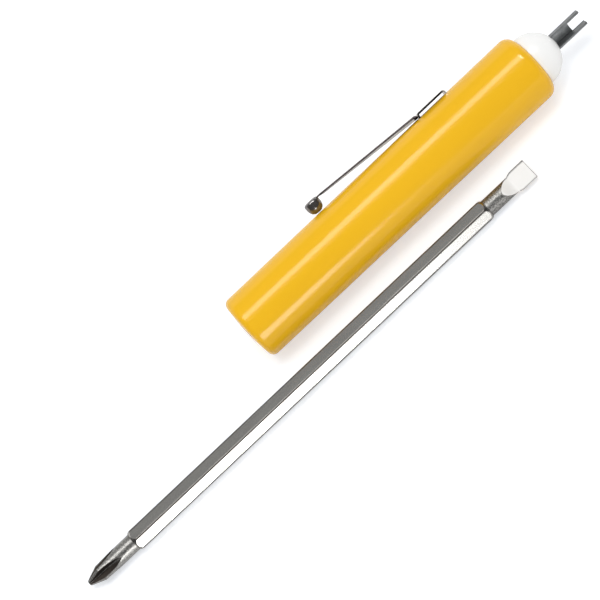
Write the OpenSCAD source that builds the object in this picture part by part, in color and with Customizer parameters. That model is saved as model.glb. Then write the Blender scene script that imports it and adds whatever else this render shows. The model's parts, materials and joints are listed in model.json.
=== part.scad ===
// Pocket screwdriver with a reversible blade, laid out with the blade drawn out beside the handle.
// Millimetres, +Z up. X runs along the handle from its mouth to the valve fork, and Y runs to the back.
// The origin lies on the table, under the middle of the whole outline.

/* [Handle] */
// Length of the barrel, from its mouth's edge to its top end
handle_len = 82.7; // [70:0.1:110]
// Barrel diameter at the top end
handle_top_d = 15.9; // [14.5:0.1:20]
// Barrel diameter at the mouth, a little less for moulding draft
handle_mouth_d = 15.5; // [14.5:0.1:20]
// Rounding of the barrel's top edge
top_round = 2.3; // [0.5:0.1:2.5]
// Rounding of the barrel's edge at the mouth
mouth_round = 1.5; // [0.3:0.1:2]
// How far the face of the mouth swells out towards its middle
mouth_swell = 0.4; // [0.05:0.05:0.6]
// Diameter of the hollow that takes the inner end of the blade
bay_d = 10.4; // [9:0.1:11]

/* [Blade socket] */
// Length of the hex-bored insert in the mouth
socket_len = 26; // [15:0.5:40]
// Outer diameter of the insert
socket_d = 8.4; // [7.8:0.1:8.8]
// Gap between the blade's flats and the hex bore, on each side
blade_clear = 0.08; // [0.03:0.01:0.2]
// Width of the retaining spring
spring_w = 2.4; // [1.5:0.1:2.6]
// Thickness of the retaining spring
spring_t = 0.3; // [0.2:0.05:0.4]
// Length of the spring inside the socket
spring_len = 15; // [8:0.5:18]
// How far the bowed spring stands into the hex bore
spring_bow = 0.2; // [0.1:0.05:0.4]
// How far the spring's lip reaches out over the end of the socket
spring_lip = 0.9; // [0.5:0.1:1.2]
// Turn of the socket and its spring from straight up towards the front, in degrees
socket_turn = 35; // [0:1:60]

/* [End plug and fork] */
// Radius of the plug's dome
dome_r = 6.05; // [5.4:0.05:7]
// Height of the straight foot under the dome
dome_foot = 0.35; // [0.2:0.05:1.5]
// Length of the plug's spigot in the barrel
spigot_len = 12; // [10:0.5:20]
// How far the fork stands out of the dome
fork_out = 7.7; // [5:0.1:12]
// Length of fork held inside the plug, below the dome
fork_tail = 8; // [4:0.5:9]
// Outside width of the fork's folded channel
fork_w = 3.5; // [2.8:0.1:4.2]
// Outside depth of the channel, from its back to the edges of its sides
fork_depth = 2.6; // [1.8:0.1:3.2]
// Sheet thickness of the fork
fork_t = 0.45; // [0.3:0.05:0.6]
// Length of the open slot between the two prongs
fork_slot = 3.15; // [2:0.05:4.5]
// Turn of the channel's open side from straight up towards the front, in degrees
fork_turn = 50; // [0:1:90]

/* [Pocket clip] */
// Distance from the barrel's top end to the far end of the clip plate
clip_from_top = 17.8; // [10:0.1:25]
// Length of the fixed plate
plate_len = 7.9; // [6:0.1:12]
// Width of the fixed plate
plate_w = 4.6; // [4:0.1:6]
// Height of the plate's underside over the barrel
plate_gap = 0.56; // [0.1:0.02:0.8]
// Sheet thickness of the clip
clip_t = 0.42; // [0.3:0.02:0.6]
// Depth of the plate's two tangs in the wall of the barrel
tang_depth = 1.6; // [0.8:0.1:1.8]
// Width of the tangs
tang_w = 3.2; // [2:0.1:3.8]
// Length of the springing arm
arm_len = 26; // [18:0.1:32]
// Width of the arm at its root
arm_root_w = 4.2; // [3.4:0.1:5]
// Width of the arm next to the ball
arm_end_w = 3.2; // [2.6:0.1:4]
// Depth of the arm's folded sides at the root
side_root_h = 0.9; // [0.5:0.05:1]
// Depth of the arm's folded sides next to the ball
side_end_h = 0.55; // [0.48:0.01:0.8]
// Width of the neck between the arm and the ball
neck_w = 1.8; // [1.2:0.1:2.4]
// Length of the neck between the arm and the ball
neck_len = 0.8; // [0.4:0.1:1.5]
// Diameter of the ball, seen from outside the barrel
ball_d = 3.75; // [3:0.05:5]
// Height of the ball's bowl, from the barrel to its widest ring
bowl_h = 2; // [1.4:0.1:2.6]
// Height of the ball's crown over its widest ring
crown_h = 1.1; // [0.6:0.1:1.6]
// Gap between the ball and the barrel
ball_clear = 0.1; // [0.05:0.05:0.3]
// Turn of the clip from straight up towards the back, in degrees
clip_turn = 55; // [0:1:90]

/* [Blade] */
// Whole length of the reversible blade
blade_len = 127; // [100:1:150]
// Width of the hexagonal shank across its flats
hex_af = 4.76; // [4:0.01:5.2]
// Diameter of the round necks behind the two tips
neck_d = 4; // [3.2:0.1:4.4]
// Length of the cross end, from its tip to the hexagon
cross_len = 12.9; // [11:0.1:18]
// Length of the cross tip's cone
cross_cone = 3.3; // [2:0.1:5]
// Diameter of the blunt point of the cross tip
cross_tip_d = 1.14; // [0.9:0.02:2]
// Length of the four flutes of the cross tip
flute_len = 9.2; // [6:0.1:10]
// Length of the flutes' straight part, from the point to where they begin to run out
flute_flat = 3; // [1:0.1:4]
// Half the thickness of a wing at the cross tip's point
wing_half_t = 0.28; // [0.2:0.02:0.4]
// Turn of one flute from straight up towards the front, in degrees
cross_turn = 47; // [0:1:90]
// Length of the slotted end, from its tip to the hexagon
slot_len = 12.4; // [10:0.1:18]
// Length of the slotted tip's two faces, shoulder included
flat_len = 8.4; // [6:0.1:9]
// Length of the flat part of these faces, from the tip to the foot of the shoulder
foot_len = 4.8; // [3:0.1:5.4]
// Width of the slotted tip
slot_tip_w = 4.76; // [4.4:0.02:5.2]
// Thickness of the slotted tip
slot_tip_t = 0.8; // [0.5:0.05:1.2]
// Turn of one face of the slotted tip from straight up towards the front, in degrees
slot_turn = 30; // [0:1:60]

/* [Layout] */
// How far the cross tip lies past the handle's mouth
blade_out = 60.5; // [40:0.5:90]
// Distance from the handle's axis to the blade's axis, seen from above
blade_side = 15.2; // [13:0.1:25]

/* [Fits] */
// Gap of a press fit, on each side
press_clear = 0.02; // [0.01:0.01:0.05]
// Gap between a tang, spring or fork and its slot, on each side
slot_clear = 0.04; // [0.02:0.01:0.1]
// Gap at the line where the clip's arm flexes
flex_gap = 0.06; // [0.04:0.01:0.15]

/* [Hidden] */

// Roundness of true circles, and the count of straight parts in a curve that follows a formula
$fn = 64;
curve_parts = 10;
// Spare length of a cut past the face that it leaves
past = 1;

// Barrel
top_r = handle_top_d / 2;
mouth_r = handle_mouth_d / 2;
draft = atan((top_r - mouth_r) / handle_len);
bay_r = bay_d / 2;
socket_r = socket_d / 2;
top_fillet = min(top_round, top_r - bay_r - 0.2);
mouth_fillet = min(mouth_round, mouth_r - socket_r - 0.2);

// Socket and spring
bore_af = hex_af + 2 * blade_clear;
spring_room = spring_t + slot_clear;
spring_sag = spring_bow + slot_clear / 2;
spring_r = (pow(spring_len / 2, 2) + pow(spring_sag, 2)) / (2 * spring_sag);
spring_seat = bore_af / 2 + spring_room - slot_clear / 2;

// Plug and fork
dome_tip = handle_len + dome_foot + dome_r;
fork_tip = dome_tip + fork_out;
fork_start = handle_len - fork_tail;
fork_bend = 2 * fork_t;
prong_round = 0.8 * fork_t;

// Clip, in the frame that has Z standing out of the barrel through the clip's middle
plate_far = handle_len - clip_from_top;
plate_near = plate_far - plate_len;
arm_root = plate_near - flex_gap;
arm_end = arm_root - arm_len;
ball_x = arm_end - neck_len - ball_d / 2;
plate_low = barrel_r(plate_far) + plate_gap;
plate_top = plate_low + clip_t;
tang_low = barrel_r(plate_near) - tang_depth;
clip_bend = 1.6 * clip_t;
ball_low = barrel_r(ball_x + ball_d / 2) + ball_clear;
ball_mid = ball_low + bowl_h;
arm_end_top = ball_mid + 0.65 * crown_h;
arm_rise = (arm_end_top - plate_top) / arm_len;

// Blade
hex_corner = hex_af / sqrt(3);
neck_r = neck_d / 2;
hex_start = cross_len;
hex_end = blade_len - slot_len;
hex_face_r = (neck_r + hex_af / 2) / 2;
flute_low = wing_half_t * sqrt(2);
flute_rise = neck_r - flute_low;
flute_r = (pow(flute_len - flute_flat, 2) + pow(flute_rise, 2)) / (2 * flute_rise);
foot_half_t = 0.6 * slot_tip_t;
shoulder_top = neck_r + 0.05;
flare_start = flat_len - 0.45 * (flat_len - foot_len);
flare_full = 0.75 * foot_len;

// Places of the handle's axis, the mouth and the blade, with the outline's middle over the origin
mouth_x = -(fork_tip - blade_out) / 2;
ball_reach = max([for (p = ball_points(0)) cos(clip_turn) * p.x + sin(clip_turn) * (ball_mid + p.y)]);
back_reach = max(top_r, ball_reach);
front_reach = blade_side + hex_corner;
handle_y = (front_reach - back_reach) / 2;
handle_z = max(top_r, mouth_r);
blade_y = handle_y - blade_side;
blade_z = hex_af / 2;

// Radius of the drafted barrel at a distance from its mouth
function barrel_r(x) = mouth_r + (top_r - mouth_r) * x / handle_len;

// Points of an arc about a centre
function arc(centre, r, from, to) =
    let (part = (to - from) / curve_parts)
    [for (i = [0 : curve_parts]) centre + r * [cos(from + part * i), sin(from + part * i)]];

// Puts a child that runs up Z along X instead
module along_x() {
    rotate([0, 90, 0]) children();
}

// Puts a child from the handle's own frame, with the mouth's centre at its origin, in its place
module on_handle() {
    translate([mouth_x, handle_y, handle_z]) children();
}

// The same, turned about the handle's axis to where the clip stands out
module on_clip() {
    on_handle() rotate([-clip_turn, 0, 0]) children();
}

// An outline of X and Z carried sideways to a width, centred on Y
module across(width) {
    translate([0, width / 2, 0]) rotate([90, 0, 0]) linear_extrude(width) children();
}

// Hexagon with flats above and below when it runs along X
module hex_prism(af, length) {
    along_x() rotate(90) cylinder(r = af / sqrt(3), h = length, $fn = 6);
}

// Solid form of the drafted barrel, with two rounded edges and a mouth that swells out in a parabola
module barrel_form() {
    mouth_c = [mouth_r - mouth_fillet * (1 - sin(draft)) / cos(draft), mouth_fillet];
    top_c = [top_r - top_fillet * (1 + sin(draft)) / cos(draft), handle_len - top_fillet];
    along_x() rotate_extrude() polygon(concat(
        [for (i = [0 : curve_parts - 1]) let (u = i / curve_parts)
            [mouth_c.x * u, -mouth_swell * (1 - u * u)]],
        arc(mouth_c, mouth_fillet, -90, -draft),
        arc(top_c, top_fillet, -draft, 90),
        [[0, handle_len]]
    ));
}

// Slot for one tang of the clip, cut from outside the barrel
module tang_slot(x) {
    translate([x - slot_clear, -tang_w / 2 - slot_clear, tang_low - slot_clear])
        cube([clip_t + 2 * slot_clear, tang_w + 2 * slot_clear, plate_top - tang_low]);
}

module handle_barrel() {
    color("gold") difference() {
        on_handle() barrel_form();
        on_handle() along_x() translate([0, 0, -past]) cylinder(r = socket_r, h = socket_len + past);
        on_handle() along_x() translate([0, 0, socket_len]) cylinder(r = bay_r, h = handle_len);
        on_clip() tang_slot(plate_near);
        on_clip() tang_slot(plate_far - clip_t);
    }
}

module blade_socket() {
    room_w = spring_w + 2 * slot_clear;
    color("goldenrod") on_handle() rotate([socket_turn, 0, 0]) difference() {
        intersection() {
            barrel_form();
            translate([-past, 0, 0]) along_x() cylinder(r = socket_r - press_clear, h = socket_len + past);
        }
        translate([-past, 0, 0]) hex_prism(bore_af, socket_len + 2 * past);
        translate([-past, -room_w / 2, 0])
            cube([spring_len + past + slot_clear, room_w, bore_af / 2 + spring_room]);
        translate([-past, -room_w / 2, 0]) cube([past, room_w, spring_seat + spring_lip + slot_clear]);
    }
}

// Bowed leaf that lies in the socket's groove, with a lip let into the socket's end
module retaining_spring() {
    color("slategray") on_handle() rotate([socket_turn, 0, 0]) union() {
        across(spring_w) intersection() {
            translate([spring_len / 2, spring_seat - spring_t / 2 - spring_sag + spring_r]) difference() {
                circle(r = spring_r + spring_t / 2, $fn = 180);
                circle(r = spring_r - spring_t / 2, $fn = 180);
            }
            square([spring_len, spring_seat]);
        }
        translate([-spring_t, -spring_w / 2, spring_seat - spring_t])
            cube([spring_t, spring_w, spring_t + spring_lip]);
    }
}

// Outline of the fork's folded channel, open upwards, grown by a gap for the slot that takes it
module channel(gap) {
    bend = fork_bend + gap;
    half_w = fork_w / 2 + gap;
    half_d = fork_depth / 2 + gap;
    inner_w = fork_w - 2 * fork_t - 2 * gap;
    difference() {
        union() {
            translate([-half_w, -half_d + bend]) square([2 * half_w, 2 * half_d - bend]);
            translate([-half_w + bend, -half_d]) square([2 * (half_w - bend), 2 * half_d]);
            for (side = [-1, 1]) translate([side * (half_w - bend), -half_d + bend]) circle(r = bend);
        }
        translate([-inner_w / 2, -fork_depth / 2 + fork_t + gap]) square([inner_w, fork_depth + past]);
    }
}

// The channel's outline carried along the handle from one distance to another
module channel_run(from, to, gap = 0) {
    translate([from, 0, 0]) rotate([90, 0, 90]) linear_extrude(to - from) channel(gap);
}

module end_plug() {
    color("whitesmoke") on_handle() difference() {
        union() {
            intersection() {
                translate([handle_len + dome_foot, 0, 0]) sphere(r = dome_r);
                translate([handle_len + dome_foot, -dome_r, -dome_r]) cube(2 * dome_r);
            }
            translate([handle_len, 0, 0]) along_x() cylinder(r = dome_r, h = dome_foot);
            translate([handle_len - spigot_len, 0, 0])
                along_x() cylinder(r = bay_r - press_clear, h = spigot_len);
        }
        rotate([fork_turn, 0, 0]) channel_run(fork_start - slot_clear, fork_tip, slot_clear);
    }
}

module valve_fork() {
    slot_w = fork_w - 2 * fork_t;
    color("gray") on_handle() rotate([fork_turn, 0, 0]) difference() {
        channel_run(fork_start, fork_tip);
        translate([fork_tip - fork_slot, -slot_w / 2, -fork_depth])
            cube([fork_slot + past, slot_w, 2 * fork_depth]);
        for (side = [-1, 1])
            translate([fork_tip, 0, side * fork_depth / 2]) rotate([0, 45, 0])
                cube([prong_round, 2 * fork_w, prong_round], center = true);
    }
}

// Side view of one end of the plate: a tang that rises into a bend, mirrored for the other end
module plate_end() {
    translate([0, tang_low]) square([clip_t, plate_top - clip_bend - tang_low]);
    translate([clip_bend, plate_top - clip_bend]) intersection() {
        difference() {
            circle(r = clip_bend);
            circle(r = clip_bend - clip_t);
        }
        translate([-clip_bend, 0]) square(clip_bend);
    }
}

module clip_plate() {
    flat_len = plate_len - 2 * clip_bend;
    color("silver") on_clip() union() {
        translate([plate_near + clip_bend, -plate_w / 2, plate_low]) cube([flat_len, plate_w, clip_t]);
        across(tang_w) {
            translate([plate_near, 0]) plate_end();
            translate([plate_far, 0]) mirror([1, 0]) plate_end();
        }
    }
}

// Outline of the ball, radius against height over its widest ring, grown by a gap: a half ellipse
// for the bowl and a fuller curve with square shoulders for the crown
function ball_points(gap) =
    let (wide = ball_d / 2 + gap, deep = bowl_h + gap, tall = crown_h + gap, part = 90 / curve_parts)
    concat(
        [for (i = [-curve_parts : 0]) [wide * cos(part * i), deep * sin(part * i)]],
        [for (i = [1 : curve_parts]) [wide * sqrt(cos(part * i)), tall * sqrt(sin(part * i))]]
    );

module ball_solid(gap = 0) {
    translate([ball_x, 0, ball_mid]) rotate_extrude() polygon(ball_points(gap));
}

// Height of the arm's outer face at a distance from the mouth
function arm_top(x) = plate_top + (arm_root - x) * arm_rise;

// Arm as seen from outside, narrowing from root to ball, drawn in by a sheet thickness for its inside
module arm_plan(inset) {
    root = arm_root_w / 2 - inset;
    end = arm_end_w / 2 - inset;
    polygon([[arm_root, -root], [arm_root, root], [arm_end, end], [arm_end, -end]]);
}

module clip_arm() {
    tall = ball_low + 2 * ball_d;
    neck_tip = ball_x;
    color("silver") on_clip() union() {
        difference() {
            intersection() {
                linear_extrude(tall) arm_plan(0);
                across(2 * arm_root_w) polygon([
                    [arm_root, arm_top(arm_root)],
                    [arm_end, arm_top(arm_end)],
                    [arm_end, arm_top(arm_end) - side_end_h],
                    [arm_root, arm_top(arm_root) - side_root_h],
                ]);
            }
            intersection() {
                linear_extrude(tall) arm_plan(clip_t / 2);
                across(2 * arm_root_w) polygon([
                    [arm_root + past, arm_top(arm_root + past) - clip_t],
                    [arm_end - past, arm_top(arm_end - past) - clip_t],
                    [arm_end - past, 0],
                    [arm_root + past, 0],
                ]);
            }
        }
        difference() {
            across(neck_w) polygon([
                [arm_end, arm_top(arm_end)],
                [neck_tip, arm_top(neck_tip)],
                [neck_tip, arm_top(neck_tip) - clip_t],
                [arm_end, arm_top(arm_end) - clip_t],
            ]);
            ball_solid(press_clear);
        }
    }
}

module clip_ball() {
    color("silver") on_clip() ball_solid();
}

// Hexagonal shank with both ends turned to a chamfer
module hex_shank() {
    rise = hex_corner - hex_face_r;
    intersection() {
        translate([hex_start, 0, 0]) hex_prism(hex_af, hex_end - hex_start);
        along_x() rotate_extrude() polygon([
            [0, hex_start], [hex_face_r, hex_start],
            [hex_corner + past, hex_start + rise + past],
            [hex_corner + past, hex_end - rise - past],
            [hex_face_r, hex_end], [0, hex_end],
        ]);
    }
}

// One flute of the cross tip: a right-angled groove, straight at first, then run out by a wheel's edge
module flute() {
    translate([-past, 0, 0]) rotate([90, 0, 90]) linear_extrude(flute_flat + past)
        polygon([[0, flute_low], [neck_d, flute_low + neck_d], [-neck_d, flute_low + neck_d]]);
    translate([flute_flat, 0, flute_low + flute_r]) rotate([90, 0, 0]) rotate_extrude()
        polygon([[flute_r - neck_d, -neck_d], [flute_r, 0], [flute_r - neck_d, neck_d]]);
}

// Cross tip: a cone on a round neck, with four flutes that run out along the neck
module cross_end() {
    difference() {
        along_x() union() {
            cylinder(r1 = cross_tip_d / 2, r2 = neck_r, h = cross_cone);
            translate([0, 0, cross_cone]) cylinder(r = neck_r, h = cross_len - cross_cone + past);
        }
        for (turn = [0 : 90 : 270]) rotate([turn, 0, 0]) flute();
    }
}

// Side view of the metal ground off one face of the slotted tip, with the tip at zero
module face_cut() {
    polygon(concat(
        [[past, neck_d], [past, slot_tip_t / 2], [0, slot_tip_t / 2]],
        [for (i = [0 : curve_parts]) let (u = i / curve_parts) [
            -foot_len - (flat_len - foot_len) * u,
            foot_half_t + (shoulder_top - foot_half_t) * u * u * (3 - 2 * u),
        ]],
        [[-flat_len, neck_d]]
    ));
}

// Slotted tip: a round neck flared to the tip's width, with two faces that run out in a shoulder
module slotted_end() {
    difference() {
        union() {
            translate([hex_end - past, 0, 0]) along_x() cylinder(r = neck_r, h = slot_len + past);
            translate([blade_len, 0, -neck_r / 2]) linear_extrude(neck_r) polygon([
                [-flare_start, -neck_r * 0.9], [-flare_full, -slot_tip_w / 2], [0, -slot_tip_w / 2],
                [0, slot_tip_w / 2], [-flare_full, slot_tip_w / 2], [-flare_start, neck_r * 0.9],
            ]);
        }
        for (turn = [0, 180])
            translate([blade_len, 0, 0]) rotate([turn, 0, 0]) across(4 * neck_d) face_cut();
    }
}

module blade() {
    color("lightsteelblue") translate([mouth_x - blade_out, blade_y, blade_z]) union() {
        hex_shank();
        rotate([cross_turn, 0, 0]) cross_end();
        rotate([slot_turn, 0, 0]) slotted_end();
    }
}

handle_barrel();
blade_socket();
retaining_spring();
end_plug();
valve_fork();
clip_plate();
clip_arm();
clip_ball();
blade();
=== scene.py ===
"""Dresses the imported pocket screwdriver: moulded handle, plug, fork, pocket clip and reversible blade."""

import json
import math

import bmesh
import bpy
import numpy as np
from mathutils import Matrix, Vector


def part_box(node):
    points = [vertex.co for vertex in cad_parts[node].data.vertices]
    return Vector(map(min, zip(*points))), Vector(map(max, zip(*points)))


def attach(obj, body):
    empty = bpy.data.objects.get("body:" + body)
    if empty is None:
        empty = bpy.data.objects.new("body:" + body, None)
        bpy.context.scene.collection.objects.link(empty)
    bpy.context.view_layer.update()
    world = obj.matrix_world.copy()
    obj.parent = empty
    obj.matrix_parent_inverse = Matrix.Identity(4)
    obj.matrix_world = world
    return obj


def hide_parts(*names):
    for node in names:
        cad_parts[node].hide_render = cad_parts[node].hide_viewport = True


bl_info = {
    "name": "Pocket Screwdriver",
    "version": (1, 0, 0),
    "blender": (4, 5, 0),
    "location": "View3D > Sidebar > Screwdriver",
    "description": "Builds the visible surfaces of a pocket screwdriver around its packed solids",
    "category": "Object",
}

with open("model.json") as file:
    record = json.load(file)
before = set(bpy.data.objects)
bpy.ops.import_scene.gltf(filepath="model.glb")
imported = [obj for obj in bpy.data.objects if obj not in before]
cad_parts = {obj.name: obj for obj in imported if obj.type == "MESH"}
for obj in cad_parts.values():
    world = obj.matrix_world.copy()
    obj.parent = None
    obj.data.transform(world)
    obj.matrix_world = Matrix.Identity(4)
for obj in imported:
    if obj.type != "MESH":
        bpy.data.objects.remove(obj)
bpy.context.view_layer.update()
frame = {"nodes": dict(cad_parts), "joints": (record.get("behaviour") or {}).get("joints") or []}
MM = 0.001
HANDLE_LEN = 82.7 * MM
IMAGE_PX = 600

ALONG = np.array((1.0, 0.0, 0.0))
FRONT = np.array((0.0, -1.0, 0.0))
UP = np.array((0.0, 0.0, 1.0))


def corners(node):
    """Lowest and highest corner of a CAD node, in metres."""
    low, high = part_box(node)
    return np.array(low), np.array(high)


def axis_of(node):
    """Point where the long axis of a CAD node crosses the plane of zero length."""
    low, high = corners(node)
    return (low + high) / 2 * (0, 1, 1)


def reach(node, direction):
    """Least and greatest distance of a CAD node from the handle's axis, along a direction across it."""
    mesh = frame["nodes"][node].data
    flat = np.empty(len(mesh.vertices) * 3)
    mesh.vertices.foreach_get("co", flat)
    heights = (flat.reshape(-1, 3) - HANDLE_AXIS) @ direction
    return heights.min(), heights.max()


# Places of the pieces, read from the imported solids
HANDLE_AXIS = axis_of("handle_barrel")
BLADE_AXIS = axis_of("blade")
TOP_X = corners("handle_barrel")[1][0]
MOUTH_X = TOP_X - HANDLE_LEN
HANDLE_R = (corners("handle_barrel")[1] - corners("handle_barrel")[0])[2] / 2
FORK_START, FORK_TIP = (corner[0] for corner in corners("valve_fork"))
CROSS_X, SLOT_X = (corner[0] for corner in corners("blade"))
HEX_FLATS = (corners("blade")[1] - corners("blade")[0])[2]
CLIP_SIDE = next(np.array(j["axis"], float) for j in frame["joints"] if j["name"] == "clip_flex")
CLIP_OUT = np.cross(ALONG, CLIP_SIDE)
PLATE_NEAR, PLATE_FAR = (corner[0] for corner in corners("clip_plate"))
TANG_LOW, PLATE_TOP = reach("clip_plate", CLIP_OUT)
ARM_ROOT = corners("clip_arm")[1][0]
ARM_TOP = reach("clip_arm", CLIP_OUT)[1]
BALL_NEAR, BALL_FAR = (corner[0] for corner in corners("clip_ball"))
BALL_LOW, BALL_TOP = reach("clip_ball", CLIP_OUT)


def length(label, about, default):
    """A length property, its default in metres."""
    return bpy.props.FloatProperty(
        name=label, description=about, default=float(default), min=0.0, precision=5, unit="LENGTH"
    )


def turn(label, about, degrees):
    """An angle property, its default in degrees."""
    return bpy.props.FloatProperty(
        name=label, description=about, default=math.radians(degrees), unit="ROTATION"
    )


def amount(label, about, default):
    """A plain number property."""
    return bpy.props.FloatProperty(name=label, description=about, default=default, min=0.0)


def colour(label, about, default):
    """A linear colour property."""
    return bpy.props.FloatVectorProperty(
        name=label, description=about, default=default, size=3, min=0.0, max=1.0, subtype="COLOR"
    )


class HandleSettings(bpy.types.PropertyGroup):
    """Sizes and colours of the moulded handle and of what its mouth holds."""

    top_r: length("Top radius", "Barrel radius at the top end", HANDLE_R)
    mouth_r: length("Mouth radius", "Barrel radius at the mouth", 7.75 * MM)
    top_round: length("Top rounding", "Rounding of the top edge", 2.3 * MM)
    mouth_round: length("Mouth rounding", "Rounding of the mouth's edge", 1.5 * MM)
    swell: length("Swell", "How far the mouth's face swells out towards its middle", 0.4 * MM)
    bay_r: length("Bay radius", "Radius of the hollow inside", 5.2 * MM)
    socket_r: length("Socket radius", "Radius of the bore that takes the socket", 4.2 * MM)
    socket_len: length("Socket length", "Length of the bore that takes the socket", 26 * MM)
    yellow: colour("Yellow", "Colour of the handle", (0.9, 0.5, 0.015))
    insert: colour("Insert", "Colour of the socket", (0.8, 0.42, 0.02))
    steel: colour("Steel", "Colour of the retaining spring", (0.3, 0.3, 0.3))


class PlugSettings(bpy.types.PropertyGroup):
    """Sizes and colours of the end plug and the valve fork."""

    dome_r: length("Dome radius", "Radius of the dome", 6.05 * MM)
    foot: length("Foot", "Height of the straight foot under the dome", 0.35 * MM)
    spigot_r: length("Spigot radius", "Radius of the part inside the barrel", 5.18 * MM)
    spigot: length("Spigot", "Length of the part inside the barrel", 12 * MM)
    fork_w: length("Fork width", "Outside width of the folded channel", 3.5 * MM)
    fork_depth: length("Fork depth", "Outside depth of the folded channel", 2.6 * MM)
    fork_t: length("Fork sheet", "Sheet thickness of the fork", 0.45 * MM)
    fork_slot: length("Fork slot", "Length of the slot between the prongs", 3.15 * MM)
    prong_round: length("Prong rounding", "Rounding of the prongs' ends", 0.5 * MM)
    fork_turn: turn("Fork turn", "Turn of the open side from straight up to the front", 50)
    white: colour("White", "Colour of the plug", (0.97, 0.97, 0.96))
    steel: colour("Steel", "Colour of the fork", (0.27, 0.28, 0.285))


class ClipSettings(bpy.types.PropertyGroup):
    """Sizes and colours of the pocket clip."""

    sheet: length("Sheet", "Sheet thickness of the plate", 0.42 * MM)
    plate_w: length("Plate width", "Width of the fixed plate", 4.6 * MM)
    tang_w: length("Tang width", "Width of the plate's tangs", 3.2 * MM)
    corner: length("Plate corners", "Rounding of the plate's corners", 0.5 * MM)
    arm_sheet: length("Arm sheet", "Sheet thickness of the arm", 0.32 * MM)
    root_w: length("Root width", "Width of the arm at its root", 4.2 * MM)
    end_w: length("End width", "Width of the arm next to the ball", 3.2 * MM)
    neck_w: length("Neck width", "Width of the neck at the ball", 1.8 * MM)
    neck: length("Neck", "Length of the neck between the arm and the ball", 0.8 * MM)
    root_side: length("Root side", "Depth of the folded sides at the root", 0.9 * MM)
    end_side: length("End side", "Depth of the folded sides next to the ball", 0.55 * MM)
    bowl: amount("Bowl share", "Share of the ball's height under its widest ring", 2 / 3.1)
    # how far the whole ball is painted dark, a painted dark reflection
    ball_dark: amount("Ball tarnish", "How tarnished the ball is, from 0 to 1", 0.76)
    nickel: colour("Nickel", "Colour of the plating", (0.75, 0.74, 0.72))
    # colour of the painted dark reflection on the plating
    tarnish: colour("Dark_reflection", "Colour of the plating where it is dark", (0.06, 0.048, 0.05))


class BladeSettings(bpy.types.PropertyGroup):
    """Sizes and colours of the reversible blade."""

    flats: length("Across flats", "Width of the hexagon across its flats", HEX_FLATS)
    corner: length("Corner rounding", "Rounding of the hexagon's long edges", 0.5 * MM)
    neck_r: length("Neck radius", "Radius of the round necks", 2 * MM)
    cross_len: length("Cross end", "Length from the cross tip to the hexagon", 12.9 * MM)
    cone: length("Cone", "Length of the cross tip's cone", 3.3 * MM)
    point_r: length("Point", "Radius of the cross tip's blunt point", 0.57 * MM)
    flute: length("Flutes", "Length of the cross tip's flutes", 9.2 * MM)
    flute_flat: length("Flute start", "Length of the flutes' straight part, from the point", 3 * MM)
    flute_low: length("Flute floor", "Distance from the axis to a flute's floor at the point", 0.396 * MM)
    cross_turn: turn("Cross turn", "Turn of one flute from straight up to the front", 47)
    slot_len: length("Slotted end", "Length from the slotted tip to the hexagon", 12.4 * MM)
    face: length("Faces", "Length of the slotted tip's two faces, shoulder included", 8.4 * MM)
    foot: length("Flat part", "Length from the slotted tip to the foot of the shoulder", 4.8 * MM)
    tip_w: length("Tip width", "Width of the slotted tip", 4.76 * MM)
    tip_t: length("Tip thickness", "Thickness of the slotted tip", 0.8 * MM)
    slot_turn: turn("Slot turn", "Turn of one face of the slotted tip from straight up to the front", 30)
    nickel: colour("Nickel", "Colour of the plating", (0.7, 0.69, 0.66))
    # colour of the ground faces, painted near white as a painted reflection
    ground_and_sheen: colour("Ground steel", "Colour of the slotted tip's faces", (0.86, 0.85, 0.83))
    # colour of the painted shade in the flutes and along the edges
    flute_edge_shade: colour("Painted_shade", "Colour of the dark flutes and edges", (0.045, 0.038, 0.033))


class StageSettings(bpy.types.PropertyGroup):
    """Camera, table and light."""

    elevation: turn("Elevation", "Height of the camera over the table", 57.5)
    roll: turn("Roll", "Turn of the picture about the view", 43.34)
    distance: length("Distance", "Distance from the camera to what it looks at", 0.52)
    scale: length("Scale", "Real length that one pixel covers where the camera looks", 0.2113 * MM)
    ahead: length("Ahead", "Distance from the mouth to the view's middle, along the handle", 12.47 * MM)
    below: length("Below", "Distance from the handle's axis down to the view's middle", 2.82 * MM)
    table: colour("Table", "Colour of the table", (0.9, 0.9, 0.9))
    paper: colour("Paper", "Colour of the table as the camera sees it", (0.65, 0.655, 0.66))
    tint: colour("Table tint", "Colour of the table's glow, cool against warm shade", (0.92, 0.95, 1.0))
    glow: amount("Table glow", "Share of its tint that the table shows to the camera", 0.53)
    fill: amount("Fill", "Light from all round", 0.7)
    key: amount("Key", "Power of the soft lamp overhead, in watts", 3.5)
    overhead: amount("Overhead card", "Power of the strip overhead that only mirrors see, in watts", 2.35)
    front: amount("Front card", "Power of the low card in front that only mirrors see, in watts", 2.8)
    end: amount("End card", "Power of the card at the strip's end that only mirrors see, in watts", 1.7)


class ScrewdriverSettings(bpy.types.PropertyGroup):
    """All settings of the pocket screwdriver."""

    handle: bpy.props.PointerProperty(type=HandleSettings)
    plug: bpy.props.PointerProperty(type=PlugSettings)
    clip: bpy.props.PointerProperty(type=ClipSettings)
    blade: bpy.props.PointerProperty(type=BladeSettings)
    stage: bpy.props.PointerProperty(type=StageSettings)


# Shapes


def across(angle):
    """Unit direction across the handle, turned by an angle from straight up towards the front."""
    return np.cos(angle)[..., None] * UP + np.sin(angle)[..., None] * FRONT


def smooth(value, low, high):
    """Smooth step: 0 below low, 1 above high, and 3 u squared less 2 u cubed between them."""
    u = np.clip((value - low) / (high - low), 0, 1)
    return u * u * (3 - 2 * u)


def arc(centre, radius, start, end, steps=12):
    """Points of a circle about a centre, from one angle in degrees to another."""
    a = np.radians(np.linspace(start, end, steps + 1))
    return np.stack([centre[0] + radius * np.cos(a), centre[1] + radius * np.sin(a)], -1)


def line(start, end, steps):
    """Points on a straight line, both ends included."""
    return np.linspace(start, end, steps + 1)


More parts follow.
